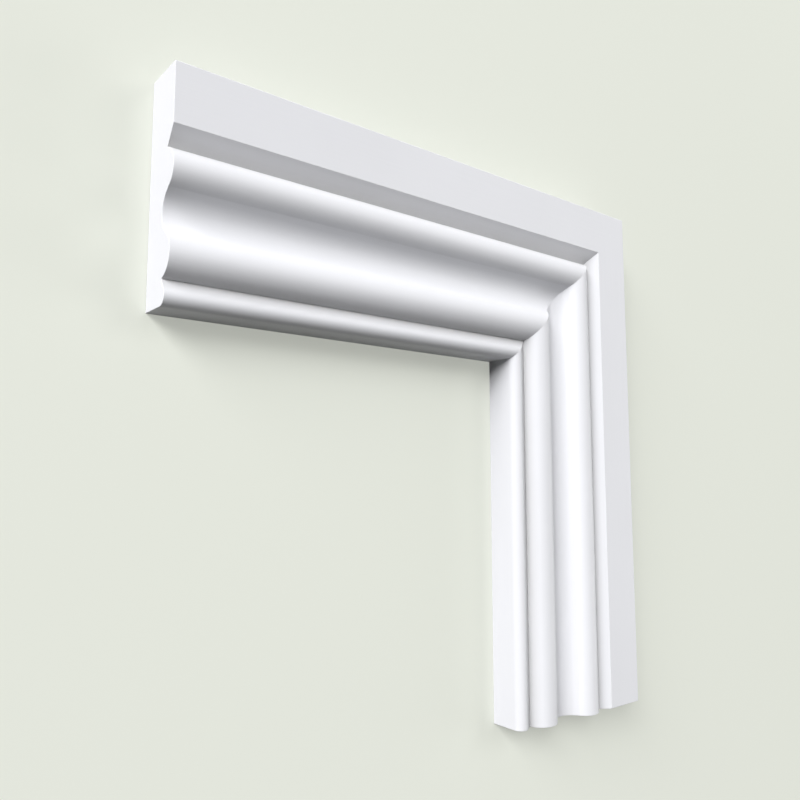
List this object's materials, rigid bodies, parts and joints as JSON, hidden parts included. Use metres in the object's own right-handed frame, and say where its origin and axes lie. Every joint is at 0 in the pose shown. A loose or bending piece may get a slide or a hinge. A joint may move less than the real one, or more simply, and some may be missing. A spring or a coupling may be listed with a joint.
{
  "type": "mitred architrave moulding corner",
  "caption": "White painted architrave corner: a head and leg of moulding with plain fascia, splay, torus, cove, inner torus and rounded nosing, mitred to frame a door or window opening.",
  "frame": {"origin": "under the middle of the corner's outline, on the plane of the backs", "axes": "+Z out of the moulded face, +X along the head towards the mitre, +Y along the leg towards the mitre"},
  "size_m": [0.3, 0.3, 0.025],
  "materials": {
    "white_paint": "smooth satin white paint"
  },
  "bodies": {
    "root": {"architrave_head": "white_paint", "architrave_leg": "white_paint"}
  },
  "joints": []
}
